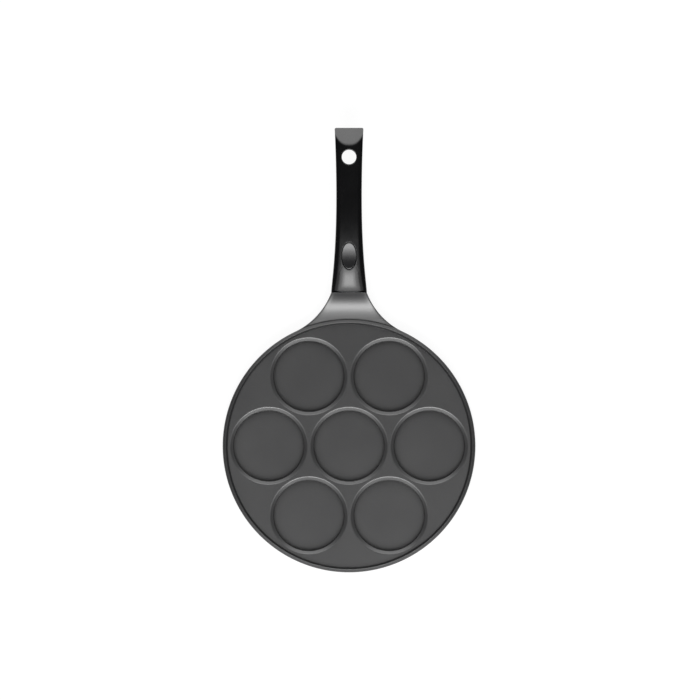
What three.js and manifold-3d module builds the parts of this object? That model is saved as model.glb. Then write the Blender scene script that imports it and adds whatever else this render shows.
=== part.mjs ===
// Cast pancake pan with seven round wells and a handle that pulls off its tongue.
// Millimetres, +Z up. The origin is the centre of the base, on the surface that the pan stands on,
// and the handle points along +Y.
import * as THREE from "three";
import { mergeVertices } from "three/addons/utils/BufferGeometryUtils.js";
import Module from "manifold-3d";

const wasm = await Module();
wasm.setup();

// Fit: the clearance between pieces that seat on each other.
const GAP = 0.3;

// Pan casting: tray, rim and wells.
const RIM_RADIUS = 132.5;
const RIM_HEIGHT = 5;
const RIM_WIDTH = 3.2;
const RIM_FALL = 1.6;
const RIM_ROUND = 0.6;
const LIP_DEPTH = 3.2;
const WALL_LEAN = 2;
const WALL_FILLET = 1.6;
const FLOOR_THICKNESS = 5;
const WELL_DEPTH = 8.5;
const WELL_RADIUS = 41;
const WELL_PITCH = 84.2;
const WELLS_AROUND = 6;
const CHAMFER_WIDTH = 4.2;
const CHAMFER_DEPTH = 2.3;
const WELL_WALL_LEAN = 0.8;
const WELL_FILLET = 0.5;
const BASE_RADIUS = 112;
const BASE_STEP = 0.8;
const BASE_SHOULDER = 2;
const FLANK_HOLLOW = 0.9;
const FLANK_FOOT_PULL = 5;
const FLANK_TOP_PULL = 2;

// Neck: it flares from the handle to the rim, which stands a little above it.
const NECK_LENGTH = 28.2;
const NECK_SWEEP = 74;
const NECK_DROP = 3.5;
const NECK_ROOT_THICKNESS = 9;
const NECK_RUN_IN = 0.9;
const NECK_ROOT_REACH = 6;
const NECK_FLAT_REACH = 6.6;
const NECK_LEAD = 18;
const NECK_SLOPE = THREE.MathUtils.degToRad(40);
const JOINT_RISE = 8;
const JOINT_THICKNESS = 20.8;
const JOINT_WIDTH = 37.6;
const NECK_ROOT_POWER = 12;
const NECK_END_POWER = 8;

// Grip: its curves run from the joint to the end through two inner control sections.
const GRIP_LENGTH = 172;
const GRIP_RISE = 18.6;
const GRIP_FRONT_SLOPE = THREE.MathUtils.degToRad(32);
const GRIP_FRONT_REACH = 20;
const GRIP_FRONT_WIDTH = 34.6;
const GRIP_FRONT_BELLY = 6.8;
const GRIP_WAIST_REACH = 62;
const GRIP_WAIST_WIDTH = 20.4;
const GRIP_WAIST_BELLY = 18.6;
const GRIP_END_WIDTH = 29.5;
const GRIP_END_THICKNESS = 17.3;
const GRIP_FRONT_POWER = 2.6;
const GRIP_POWER = 2.4;
const GRIP_SPREAD = 1.2;
const GRIP_SETTLE = 0.5;
const END_ROUND = 1.6;
const END_FLAT_LENGTH = 18.5;
const END_FLAT_ANGLE = THREE.MathUtils.degToRad(14.5);
const HANG_HOLE_RADIUS = 7.6;
const HANG_HOLE_INSET = 30.5;

// Tongue on the neck and the steel sleeve that it slides into.
const TONGUE_LENGTH = 30;
const TONGUE_WIDTH = 20;
const TONGUE_THICKNESS = 7;
const TONGUE_ANGLE = THREE.MathUtils.degToRad(16.5);
const TONGUE_RISE = 1.8;
const TONGUE_ROOT = 8;
const TONGUE_LEAD = 1.5;
const NOTCH_LENGTH = 5.5;
const NOTCH_DEPTH = 2.3;
const NOTCH_TIP_WALL = 4;
const SLEEVE_WALL = 0.8;
const SLEEVE_OVERRUN = 1;

// Latch spring: a steel leaf with a hooked front end, screwed to a seat inside the grip.
const SPRING_WIDTH = 12;
const SPRING_THICKNESS = 0.6;
const SPRING_REACH = 58;
const SPRING_SEAT = 27;
const LATCH_SCREW_INSET = 4;
const LATCH_SCREW_PITCH = 8;
const LATCH_SCREW_LENGTH = 5.5;
const SCREW_RADIUS = 1.5;
const LATCH_HEAD_RADIUS = 2.8;
const LATCH_HEAD_HEIGHT = 1.8;
const LATCH_HEAD_EDGE = 0.9;

// Release button: an oval cap with a finger dish, kept in by its flange.
const BUTTON_LENGTH = 28.8;
const BUTTON_WIDTH = 15.2;
const BUTTON_PLACE = 38;
const BUTTON_THICKNESS = 3.1;
const BUTTON_TRAVEL = 2.2;
const DISH_DEPTH = 1.8;
const FLANGE_LENGTH = 14;
const FLANGE_OVERHANG = 2;
const FLANGE_THICKNESS = 1.5;
const FLANGE_SHIFT = 3;
const STEM_RADIUS = 2.6;
const ROOF_THICKNESS = 3.4;

// Belly cover: it closes the hollow that holds the latch.
const HOLLOW_WIDTH = 15;
const HOLLOW_MARGIN = 4;
const COVER_WIDTH = 20;
const COVER_THICKNESS = 2;
const COVER_SCREW_OFFSET = 6;
const COVER_SCREW_LENGTH = 5.2;
const COVER_HEAD_RADIUS = 2.8;
const COVER_HEAD_SINK = 0.3;

// Facets.
const TRAY_SIDES = 84;
const WELL_SIDES = 36;
const LOFT_SIDES = 36;
const GRIP_STEPS = 22;
const NECK_STEPS = 10;
const ROUND_STEPS = 3;
const SCREW_SIDES = 16;
const OVAL_SEGMENTS = 14;
const WELD = 1e-4;
const WELL_OVERCUT = 0.1;
const BEYOND = 40;

// Heights and places that follow from the driving dimensions.
const PLATE_Z = FLOOR_THICKNESS + WELL_DEPTH;
const RIM_TOP = PLATE_Z + RIM_HEIGHT;
const RIM_INNER = RIM_RADIUS - RIM_WIDTH;
const RIM_EDGE = RIM_TOP - RIM_FALL;
const WALL_FOOT = RIM_INNER - WALL_LEAN;
const JOINT_Y = RIM_RADIUS + NECK_LENGTH;
const JOINT_TOP = RIM_TOP + JOINT_RISE;
const JOINT_BOTTOM = JOINT_TOP - JOINT_THICKNESS;
const GRIP_Y = JOINT_Y + GAP;
const END_Y = GRIP_Y + GRIP_LENGTH;
const END_TOP = JOINT_TOP + GRIP_RISE;

const COATED_ALUMINIUM = new THREE.MeshStandardMaterial({ color: 0x4c4c4d, roughness: 0.45, metalness: 0 });
const BLACK_PHENOLIC = new THREE.MeshStandardMaterial({ color: 0x0d0d0e, roughness: 0.2, metalness: 0 });
const GREY_PHENOLIC = new THREE.MeshStandardMaterial({ color: 0x242426, roughness: 0.3, metalness: 0 });
const SATIN_STEEL = new THREE.MeshStandardMaterial({ color: 0xb8babc, roughness: 0.35, metalness: 1 });

// A closed geometry as a solid that can be joined and cut.
function solid(geometry) {
  const bare = new THREE.BufferGeometry();
  bare.setAttribute("position", geometry.getAttribute("position").clone());
  bare.setIndex(geometry.index);
  const merged = mergeVertices(bare, WELD);
  const corners = merged.index.array;
  const triangles = [];
  for (let i = 0; i < corners.length; i += 3) {
    const [a, b, c] = corners.slice(i, i + 3);
    if (a !== b && b !== c && c !== a) {
      triangles.push(a, b, c);
    }
  }
  const vertProperties = new Float32Array(merged.getAttribute("position").array);
  const triVerts = new Uint32Array(triangles);
  return new wasm.Manifold(new wasm.Mesh({ numProp: 3, vertProperties, triVerts }));
}

function partMesh(name, body, material) {
  const { vertProperties, triVerts } = body.getMesh();
  const geometry = new THREE.BufferGeometry();
  geometry.setAttribute("position", new THREE.BufferAttribute(vertProperties, 3));
  geometry.setIndex(new THREE.BufferAttribute(triVerts, 1));
  geometry.computeVertexNormals();
  const part = new THREE.Mesh(geometry, material);
  part.name = name;
  return part;
}

// A turned solid: the profile holds radius and height, from the axis back to the axis.
function turned(profile, sides) {
  return new THREE.LatheGeometry(profile, sides).rotateX(Math.PI / 2);
}

function outline(points) {
  return points.map(([x, y]) => new THREE.Vector2(x, y));
}

// A side view (Y and Z) drawn as a shape and given a width along X.
const SIDE_VIEW = new THREE.Matrix4().makeBasis(
  new THREE.Vector3(0, 1, 0),
  new THREE.Vector3(0, 0, 1),
  new THREE.Vector3(1, 0, 0),
);
function sideSlab(points, width) {
  const shape = new THREE.Shape(outline(points));
  const geometry = new THREE.ExtrudeGeometry(shape, { depth: width, bevelEnabled: false });
  return geometry.applyMatrix4(SIDE_VIEW).translate(-width / 2, 0, 0);
}

function sideBox(from, to, low, high, width) {
  return sideSlab([[from, low], [to, low], [to, high], [from, high]], width);
}

// A plan view (X and Y) drawn as a shape and raised from one height to another.
function prism(shape, low, high) {
  const options = { depth: high - low, bevelEnabled: false, curveSegments: OVAL_SEGMENTS };
  return new THREE.ExtrudeGeometry(shape, options).translate(0, 0, low);
}

function oval(width, length, shift = 0) {
  return new THREE.Shape().absellipse(0, shift, width / 2, length / 2, 0, 2 * Math.PI);
}

function stadium(front, rear, width) {
  const radius = width / 2;
  const shape = new THREE.Shape();
  shape.absarc(0, rear - radius, radius, 0, Math.PI);
  shape.absarc(0, front + radius, radius, Math.PI, 2 * Math.PI);
  return shape;
}

// One soft-cornered cross-section. A higher power makes it boxier, and a spread above one cuts its
// sides off upright at the half-width.
function section({ y, halfWidth, top, bottom, power, spread = 1 }) {
  const bulge = (v) => Math.sign(v) * Math.abs(v) ** (2 / power);
  const ring = [];
  for (let i = 0; i < LOFT_SIDES; i += 1) {
    const angle = (2 * Math.PI * i) / LOFT_SIDES;
    const across = THREE.MathUtils.clamp(spread * bulge(Math.cos(angle)), -1, 1);
    const z = (top + bottom) / 2 + ((top - bottom) / 2) * bulge(Math.sin(angle));
    ring.push(new THREE.Vector3(halfWidth * across, y, z));
  }
  return ring;
}

// A closed skin through cross-sections in order of Y, with flat ends.
function loft(sections) {
  const rings = sections.map(section);
  const total = (ring) => ring.reduce((sum, p) => sum.add(p), new THREE.Vector3());
  const middle = (ring) => total(ring).divideScalar(ring.length);
  const points = [...rings.flat(), middle(rings[0]), middle(rings.at(-1))];
  const index = [];
  const front = rings.length * LOFT_SIDES;
  const last = (rings.length - 1) * LOFT_SIDES;
  for (let j = 0; j < LOFT_SIDES; j += 1) {
    const k = (j + 1) % LOFT_SIDES;
    for (let ring = 0; ring < last; ring += LOFT_SIDES) {
      const next = ring + LOFT_SIDES;
      index.push(ring + j, next + j, ring + k, ring + k, next + j, next + k);
    }
    index.push(front, j, k, front + 1, last + k, last + j);
  }
  const geometry = new THREE.BufferGeometry().setFromPoints(points);
  geometry.setIndex(index);
  return geometry;
}

// Tray: one turned section from the base over the flank and the rim to the plate.
// The rim's top falls a little to the outside.
function traySolid() {
  const profile = new THREE.Path();
  const flankFoot = BASE_RADIUS + BASE_SHOULDER;
  const flankTop = RIM_RADIUS - FLANK_HOLLOW;
  profile.moveTo(0, 0);
  profile.lineTo(BASE_RADIUS, 0);
  profile.lineTo(BASE_RADIUS, BASE_STEP);
  profile.lineTo(flankFoot, BASE_STEP);
  profile.bezierCurveTo(
    flankTop - FLANK_FOOT_PULL, BASE_STEP,
    flankTop - FLANK_TOP_PULL, FLOOR_THICKNESS,
    flankTop, RIM_TOP - LIP_DEPTH,
  );
  const roundFall = (RIM_ROUND * RIM_FALL) / RIM_WIDTH;
  profile.lineTo(RIM_RADIUS, RIM_EDGE - RIM_ROUND);
  profile.quadraticCurveTo(RIM_RADIUS, RIM_EDGE, RIM_RADIUS - RIM_ROUND, RIM_EDGE + roundFall);
  profile.lineTo(RIM_INNER + RIM_ROUND, RIM_TOP - roundFall);
  profile.quadraticCurveTo(RIM_INNER, RIM_TOP, RIM_INNER, RIM_TOP - RIM_ROUND);
  profile.lineTo(WALL_FOOT, PLATE_Z + WALL_FILLET);
  profile.quadraticCurveTo(WALL_FOOT, PLATE_Z, WALL_FOOT - WALL_FILLET, PLATE_Z);
  profile.lineTo(0, PLATE_Z);
  return solid(turned(profile.getPoints(4), TRAY_SIDES));
}

// Well: a wide chamfer, a steep wall and a small fillet to the flat floor.
function wellCutter() {
  const wallTop = WELL_RADIUS - CHAMFER_WIDTH;
  const wallFoot = wallTop - WELL_WALL_LEAN;
  const aboveRadius = WELL_RADIUS + WELL_OVERCUT * CHAMFER_WIDTH;
  const aboveZ = PLATE_Z + WELL_OVERCUT * CHAMFER_DEPTH;
  const profile = new THREE.Path();
  profile.moveTo(0, FLOOR_THICKNESS);
  profile.lineTo(wallFoot - WELL_FILLET, FLOOR_THICKNESS);
  profile.quadraticCurveTo(wallFoot, FLOOR_THICKNESS, wallFoot, FLOOR_THICKNESS + WELL_FILLET);
  profile.lineTo(wallTop, PLATE_Z - CHAMFER_DEPTH);
  profile.lineTo(aboveRadius, aboveZ);
  profile.lineTo(0, aboveZ);
  return turned(profile.getPoints(2), WELL_SIDES);
}

// Plan half-width of the neck: an arc that leaves the rim circle smoothly and ends at the joint.
const neckArc = (() => {
  const halfWidth = JOINT_WIDTH / 2;
  const far = RIM_RADIUS + NECK_SWEEP;
  const reach = Math.hypot(halfWidth, JOINT_Y);
  const along = (far ** 2 - NECK_SWEEP ** 2 + reach ** 2) / (2 * reach);
  const across = Math.sqrt(far ** 2 - along ** 2);
  const x = (halfWidth * along + JOINT_Y * across) / reach;
  const y = (JOINT_Y * along - halfWidth * across) / reach;
  return { x, y, startX: (x * RIM_RADIUS) / far, startY: (y * RIM_RADIUS) / far };
})();

function neckHalfWidth(y) {
  if (y <= neckArc.startY) {
    return neckArc.startX;
  }
  return neckArc.x - Math.sqrt(NECK_SWEEP ** 2 - (y - neckArc.y) ** 2);
}

// Neck: its top is flat across and rises in one sweep from below the rim to the joint.
function neckSolid() {
  const rootY = neckArc.startY - NECK_ROOT_REACH;
  const rootTop = RIM_TOP - NECK_DROP;
  const rootBottom = rootTop - NECK_ROOT_THICKNESS;
  const flatY = RIM_RADIUS + NECK_FLAT_REACH;
  const leadY = JOINT_Y - NECK_LEAD * Math.cos(NECK_SLOPE);
  const top = new THREE.CubicBezierCurve(...outline([
    [rootY, rootTop],
    [flatY, rootTop],
    [leadY, JOINT_TOP - NECK_LEAD * Math.sin(NECK_SLOPE)],
    [JOINT_Y, JOINT_TOP],
  ]));
  const bottom = new THREE.CubicBezierCurve(...outline([
    [rootY, rootBottom],
    [flatY, rootBottom],
    [leadY, JOINT_BOTTOM],
    [JOINT_Y, JOINT_BOTTOM],
  ]));
  const sections = [];
  for (let i = 0; i <= NECK_STEPS; i += 1) {
    const t = i / NECK_STEPS;
    const { x: y, y: topZ } = top.getPoint(t);
    sections.push({
      y,
      halfWidth: neckHalfWidth(y),
      top: topZ,
      bottom: bottom.getPoint(t).y,
      power: THREE.MathUtils.lerp(NECK_ROOT_POWER, NECK_END_POWER, t),
    });
  }
  return solid(loft(sections));
}

// The latch frame lies along the tongue: its Y runs into the handle, its Z stands on the tongue.
const latchFrame = new THREE.Group();
latchFrame.position.set(0, JOINT_Y, (JOINT_TOP + JOINT_BOTTOM) / 2 + TONGUE_RISE);
latchFrame.rotation.x = TONGUE_ANGLE;
latchFrame.updateMatrix();
const inLatchFrame = (geometry) => geometry.applyMatrix4(latchFrame.matrix);
const latchPoint = (along, up) => new THREE.Vector3(0, along, up).applyMatrix4(latchFrame.matrix);

const TONGUE_HALF = TONGUE_THICKNESS / 2;
const NOTCH_END = TONGUE_LENGTH - NOTCH_TIP_WALL;
const SLEEVE_HALF = TONGUE_HALF + GAP + SLEEVE_WALL;
const SLEEVE_WIDTH = TONGUE_WIDTH + 2 * (GAP + SLEEVE_WALL);
const SLEEVE_END = TONGUE_LENGTH + SLEEVE_OVERRUN;
const SLEEVE_START = (GAP + SLEEVE_HALF * Math.sin(TONGUE_ANGLE)) / Math.cos(TONGUE_ANGLE);
const SPRING_TOP = -SLEEVE_HALF - GAP;
const SPRING_BOTTOM = SPRING_TOP - SPRING_THICKNESS;
const HOOK_BACK = NOTCH_END - GAP;
const HOOK_FRONT = HOOK_BACK - SPRING_THICKNESS;
const SPRING_END = HOOK_FRONT + SPRING_REACH;
const LATCH_SCREWS = {
  latch_screw_front: SPRING_END - LATCH_SCREW_INSET - LATCH_SCREW_PITCH,
  latch_screw_rear: SPRING_END - LATCH_SCREW_INSET,
};

// Tongue: a flat bar with a lead-in at its tip and the latch notch in its underside.
function tongueSolid() {
  const notchStart = NOTCH_END - NOTCH_LENGTH;
  const notchTop = NOTCH_DEPTH - TONGUE_HALF;
  const side = [
    [-TONGUE_ROOT, -TONGUE_HALF],
    [notchStart, -TONGUE_HALF],
    [notchStart, notchTop],
    [NOTCH_END, notchTop],
    [NOTCH_END, -TONGUE_HALF],
    [TONGUE_LENGTH - TONGUE_LEAD, -TONGUE_HALF],
    [TONGUE_LENGTH, TONGUE_LEAD - TONGUE_HALF],
    [TONGUE_LENGTH, TONGUE_HALF - TONGUE_LEAD],
    [TONGUE_LENGTH - TONGUE_LEAD, TONGUE_HALF],
    [-TONGUE_ROOT, TONGUE_HALF],
  ];
  return solid(inLatchFrame(sideSlab(side, TONGUE_WIDTH)));
}

// Pan body: tray, neck and tongue are one casting; the neck stops inside the rim wall.
function panBody() {
  const clearFoot = WALL_FOOT + NECK_RUN_IN;
  const inside = solid(turned(outline([
    [0, PLATE_Z - NECK_RUN_IN],
    [clearFoot, PLATE_Z - NECK_RUN_IN],
    [clearFoot + WALL_LEAN, RIM_EDGE],
    [clearFoot + WALL_LEAN, RIM_TOP + BEYOND],
    [0, RIM_TOP + BEYOND],
  ]), TRAY_SIDES));
  let body = traySolid().add(neckSolid().subtract(inside)).add(tongueSolid());
  body = body.subtract(solid(wellCutter()));
  for (let i = 0; i < WELLS_AROUND; i += 1) {
    const angle = (2 * Math.PI * i) / WELLS_AROUND;
    const cutter = wellCutter().translate(WELL_PITCH * Math.cos(angle), WELL_PITCH * Math.sin(angle), 0);
    body = body.subtract(solid(cutter));
  }
  return partMesh("pan_body", body, COATED_ALUMINIUM);
}

// Grip curves: half-width and top in one curve, the belly in another, with Y in common.
// Past the joint the crown gets rounder and the sides get flatter.
const frontLead = GRIP_FRONT_REACH * Math.tan(GRIP_FRONT_SLOPE);
const crown = new THREE.CubicBezierCurve3(
  new THREE.Vector3(JOINT_WIDTH / 2, GRIP_Y, JOINT_TOP),
  new THREE.Vector3(GRIP_FRONT_WIDTH / 2, GRIP_Y + GRIP_FRONT_REACH, JOINT_TOP + frontLead),
  new THREE.Vector3(GRIP_WAIST_WIDTH / 2, GRIP_Y + GRIP_WAIST_REACH, END_TOP),
  new THREE.Vector3(GRIP_END_WIDTH / 2, END_Y, END_TOP),
);
const belly = new THREE.CubicBezierCurve3(
  new THREE.Vector3(0, GRIP_Y, JOINT_BOTTOM),
  new THREE.Vector3(0, GRIP_Y + GRIP_FRONT_REACH, JOINT_BOTTOM + GRIP_FRONT_BELLY),
  new THREE.Vector3(0, GRIP_Y + GRIP_WAIST_REACH, JOINT_BOTTOM + GRIP_WAIST_BELLY),
  new THREE.Vector3(0, END_Y, END_TOP - GRIP_END_THICKNESS),
);

// Curve parameter of the grip at a given Y.
function gripStation(y) {
  let low = 0;
  let high = 1;
  while (high - low > WELD) {
    const t = (low + high) / 2;
    if (crown.getPoint(t).y < y) {
      low = t;
    } else {
      high = t;
    }
  }
  return (low + high) / 2;
}

function gripSection(t, inset = 0) {
  const edge = crown.getPoint(t);
  const settled = Math.min(1, t / GRIP_SETTLE);
  return {
    y: edge.y,
    halfWidth: edge.x - inset,
    top: edge.z - inset,
    bottom: belly.getPoint(t).z + inset,
    power: THREE.MathUtils.lerp(GRIP_FRONT_POWER, GRIP_POWER, settled),
    spread: THREE.MathUtils.lerp(1, GRIP_SPREAD, settled),
  };
}

// Grip blank: the loft of the handle's outside, with a rounded rear edge.
function gripBlank() {
  const sections = [];
  const roundStart = gripStation(END_Y - END_ROUND);
  for (let i = 0; i <= GRIP_STEPS; i += 1) {
    sections.push(gripSection((roundStart * i) / GRIP_STEPS));
  }
  for (let i = 1; i <= ROUND_STEPS; i += 1) {
    const angle = (Math.PI * i) / (2 * ROUND_STEPS);
    const t = gripStation(END_Y - END_ROUND * (1 - Math.sin(angle)));
    sections.push(gripSection(t, END_ROUND * (1 - Math.cos(angle))));
  }
  return loft(sections);
}

// A frame on one of the grip's curves at a given Y: its Y follows the curve, its Z stands on it.
function frameOn(curve, y) {
  const t = gripStation(y);
  const slope = curve.getTangent(t);
  const frame = new THREE.Group();
  frame.position.copy(curve.getPoint(t)).setX(0);
  frame.rotation.x = Math.atan2(slope.z, slope.y);
  frame.updateMatrix();
  return frame;
}

const buttonFrame = frameOn(crown, GRIP_Y + BUTTON_PLACE);
const inButtonFrame = (geometry) => geometry.applyMatrix4(buttonFrame.matrix);

const HOLLOW_FRONT = latchPoint(HOOK_FRONT, SPRING_BOTTOM).y - HOLLOW_MARGIN;
const HOLLOW_REAR = latchPoint(SPRING_END, SPRING_TOP).y + HOLLOW_MARGIN;
const COVER_FRONT = HOLLOW_FRONT - 2 * COVER_SCREW_OFFSET;
const COVER_REAR = HOLLOW_REAR + 2 * COVER_SCREW_OFFSET;
const COVER_SCREWS = {
  cover_screw_front: frameOn(belly, HOLLOW_FRONT - COVER_SCREW_OFFSET),
  cover_screw_rear: frameOn(belly, HOLLOW_REAR + COVER_SCREW_OFFSET),
};

// The hollow over the belly cover: a roof under the button, then the seat of the latch spring.
function hollowCutter() {
  const seatStart = SPRING_END - SPRING_SEAT;
  const seat = (along) => latchPoint(along, SPRING_TOP + GAP);
  const tilt = buttonFrame.rotation.x;
  const roof = (y) => {
    const ahead = y - buttonFrame.position.y;
    return buttonFrame.position.z + ahead * Math.tan(tilt) - ROOF_THICKNESS / Math.cos(tilt);
  };
  const rearAlong = SPRING_END + HOLLOW_MARGIN / Math.cos(TONGUE_ANGLE);
  return sideSlab([
    [HOLLOW_FRONT, -BEYOND],
    [seat(rearAlong).y, -BEYOND],
    [seat(rearAlong).y, seat(rearAlong).z],
    [seat(seatStart).y, seat(seatStart).z],
    [seat(seatStart).y, roof(seat(seatStart).y)],
    [HOLLOW_FRONT, roof(HOLLOW_FRONT)],
  ], HOLLOW_WIDTH);
}

// Countersunk cover screw, seen from its head: the head lies just inside the belly.
function coverScrew(clearance) {
  const head = COVER_HEAD_RADIUS + clearance;
  const shank = SCREW_RADIUS + clearance;
  const start = clearance > 0 ? -BEYOND : COVER_HEAD_SINK;
  return turned(outline([
    [0, start],
    [head, start],
    [head, COVER_HEAD_SINK],
    [shank, COVER_HEAD_SINK + COVER_HEAD_RADIUS - SCREW_RADIUS],
    [shank, COVER_SCREW_LENGTH + clearance],
    [0, COVER_SCREW_LENGTH + clearance],
  ]), SCREW_SIDES);
}

// Round-headed screw that holds the latch spring against its seat.
function latchScrew(along) {
  const seat = SPRING_BOTTOM - GAP;
  const screw = turned(outline([
    [0, seat - LATCH_HEAD_HEIGHT],
    [LATCH_HEAD_RADIUS - LATCH_HEAD_EDGE, seat - LATCH_HEAD_HEIGHT],
    [LATCH_HEAD_RADIUS, seat - LATCH_HEAD_HEIGHT + LATCH_HEAD_EDGE],
    [LATCH_HEAD_RADIUS, seat],
    [SCREW_RADIUS, seat],
    [SCREW_RADIUS, seat + LATCH_SCREW_LENGTH],
    [0, seat + LATCH_SCREW_LENGTH],
  ]), SCREW_SIDES);
  return screw.translate(0, along, 0);
}

function latchScrewHole(along) {
  const radius = SCREW_RADIUS + GAP;
  const low = SPRING_BOTTOM - GAP;
  const high = low + LATCH_SCREW_LENGTH + GAP;
  const hole = turned(outline([[0, low], [radius, low], [radius, high], [0, high]]), SCREW_SIDES);
  return hole.translate(0, along, 0);
}

// Grip: the blank less the end flat, the hanging hole, the socket, the button well and the hollow.
function handleGrip(blank) {
  const endFlat = sideSlab([
    [END_Y - END_FLAT_LENGTH, END_TOP],
    [END_Y + BEYOND, END_TOP - (END_FLAT_LENGTH + BEYOND) * Math.tan(END_FLAT_ANGLE)],
    [END_Y + BEYOND, END_TOP + BEYOND],
    [END_Y - END_FLAT_LENGTH, END_TOP + BEYOND],
  ], 2 * GRIP_END_WIDTH);
  const hangHole = turned(outline([
    [0, -BEYOND],
    [HANG_HOLE_RADIUS, -BEYOND],
    [HANG_HOLE_RADIUS, END_TOP + BEYOND],
    [0, END_TOP + BEYOND],
  ]), WELL_SIDES).translate(0, END_Y - HANG_HOLE_INSET, 0);
  const socketHalf = SLEEVE_HALF + GAP;
  const socket = sideBox(-TONGUE_LENGTH, SLEEVE_END + GAP, -socketHalf, socketHalf, SLEEVE_WIDTH + 2 * GAP);
  const wellFloor = -BUTTON_THICKNESS - BUTTON_TRAVEL - GAP;
  const buttonWell = prism(oval(BUTTON_WIDTH + 2 * GAP, BUTTON_LENGTH + 2 * GAP), wellFloor, BEYOND);
  const flangeWidth = BUTTON_WIDTH + 2 * (FLANGE_OVERHANG + GAP);
  const flangeFloor = -ROOF_THICKNESS - FLANGE_THICKNESS - BUTTON_TRAVEL - 2 * GAP;
  const flangeOutline = oval(flangeWidth, FLANGE_LENGTH + 2 * GAP, FLANGE_SHIFT);
  const flangeWell = prism(flangeOutline, flangeFloor, -ROOF_THICKNESS);
  const lifted = solid(blank.clone().translate(0, 0, COVER_THICKNESS + GAP));
  const coverOutline = stadium(COVER_FRONT - GAP, COVER_REAR + GAP, COVER_WIDTH + 2 * GAP);
  const coverSeat = solid(prism(coverOutline, -BEYOND, END_TOP)).subtract(lifted);
  let body = solid(blank)
    .subtract(solid(endFlat))
    .subtract(solid(hangHole))
    .subtract(solid(inLatchFrame(socket)))
    .subtract(solid(inButtonFrame(buttonWell)))
    .subtract(solid(inButtonFrame(flangeWell)))
    .subtract(solid(hollowCutter()))
    .subtract(coverSeat);
  for (const along of Object.values(LATCH_SCREWS)) {
    body = body.subtract(solid(inLatchFrame(latchScrewHole(along))));
  }
  for (const frame of Object.values(COVER_SCREWS)) {
    body = body.subtract(solid(coverScrew(GAP).applyMatrix4(frame.matrix)));
  }
  return partMesh("handle_grip", body, BLACK_PHENOLIC);
}

// Belly cover: the skin of the blank over the hollow, with its two countersunk holes.
function bellyCover(blank) {
  const lifted = solid(blank.clone().translate(0, 0, COVER_THICKNESS));
  const plan = solid(prism(stadium(COVER_FRONT, COVER_REAR, COVER_WIDTH), -BEYOND, END_TOP));
  let body = solid(blank).intersect(plan).subtract(lifted);
  for (const frame of Object.values(COVER_SCREWS)) {
    body = body.subtract(solid(coverScrew(GAP).applyMatrix4(frame.matrix)));
  }
  return partMesh("belly_cover", body, BLACK_PHENOLIC);
}

// Release button: cap, hub, flange and the stem that pushes the latch spring down.
function releaseButton(blank) {
  const halfLength = BUTTON_LENGTH / 2;
  const dishRadius = (halfLength ** 2 + DISH_DEPTH ** 2) / (2 * DISH_DEPTH);
  const dish = new THREE.CylinderGeometry(dishRadius, dishRadius, 2 * BUTTON_WIDTH, 2 * TRAY_SIDES);
  dish.rotateZ(Math.PI / 2).translate(0, 0, dishRadius - DISH_DEPTH);
  const flangeTop = -ROOF_THICKNESS - GAP;
  const flangeBottom = flangeTop - FLANGE_THICKNESS;
  const hubOutline = oval(BUTTON_WIDTH, FLANGE_LENGTH, FLANGE_SHIFT);
  const flangeOutline = oval(BUTTON_WIDTH + 2 * FLANGE_OVERHANG, FLANGE_LENGTH, FLANGE_SHIFT);
  const stem = new THREE.CylinderGeometry(STEM_RADIUS, STEM_RADIUS, BEYOND, SCREW_SIDES);
  stem.rotateX(Math.PI / 2).translate(0, 0, flangeTop - BEYOND / 2 - GAP);
  const underSpring = sideBox(-BEYOND, SPRING_END + BEYOND, -2 * BEYOND, SPRING_TOP + GAP, BEYOND);
  const cap = solid(inButtonFrame(prism(oval(BUTTON_WIDTH, BUTTON_LENGTH), -BUTTON_THICKNESS, BEYOND)))
    .intersect(solid(blank))
    .subtract(solid(inButtonFrame(dish)));
  const hub = solid(inButtonFrame(prism(hubOutline, flangeBottom, GAP - BUTTON_THICKNESS)))
    .intersect(solid(inButtonFrame(prism(oval(BUTTON_WIDTH, BUTTON_LENGTH), -BEYOND, 0))));
  const body = cap
    .add(hub)
    .add(solid(inButtonFrame(prism(flangeOutline, flangeBottom, flangeTop))))
    .add(solid(inButtonFrame(stem)).subtract(solid(inLatchFrame(underSpring))));
  return partMesh("release_button", body, GREY_PHENOLIC);
}

// Socket sleeve: a thin steel tube round the tongue with a window for the latch hook.
function socketSleeve() {
  const inner = SLEEVE_HALF - SLEEVE_WALL;
  const outside = sideBox(SLEEVE_START, SLEEVE_END, -SLEEVE_HALF, SLEEVE_HALF, SLEEVE_WIDTH);
  const bore = sideBox(-BEYOND, SLEEVE_END + BEYOND, -inner, inner, SLEEVE_WIDTH - 2 * SLEEVE_WALL);
  const windowFront = NOTCH_END - NOTCH_LENGTH;
  const window = sideBox(windowFront, NOTCH_END, -BEYOND, 0, SPRING_WIDTH + 2 * GAP);
  const body = solid(outside)
    .subtract(solid(bore))
    .subtract(solid(window));
  return partMesh("socket_sleeve", body, SATIN_STEEL);
}

// Latch spring: a straight leaf, bent up at its front into the hook.
function latchSpring() {
  const hookTop = NOTCH_DEPTH - TONGUE_HALF - GAP;
  const leaf = sideSlab([
    [HOOK_FRONT, SPRING_BOTTOM],
    [SPRING_END, SPRING_BOTTOM],
    [SPRING_END, SPRING_TOP],
    [HOOK_BACK, SPRING_TOP],
    [HOOK_BACK, hookTop],
    [HOOK_FRONT, hookTop],
  ], SPRING_WIDTH);
  let body = solid(leaf);
  for (const along of Object.values(LATCH_SCREWS)) {
    body = body.subtract(solid(latchScrewHole(along)));
  }
  return partMesh("latch_spring", body, SATIN_STEEL);
}

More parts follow.
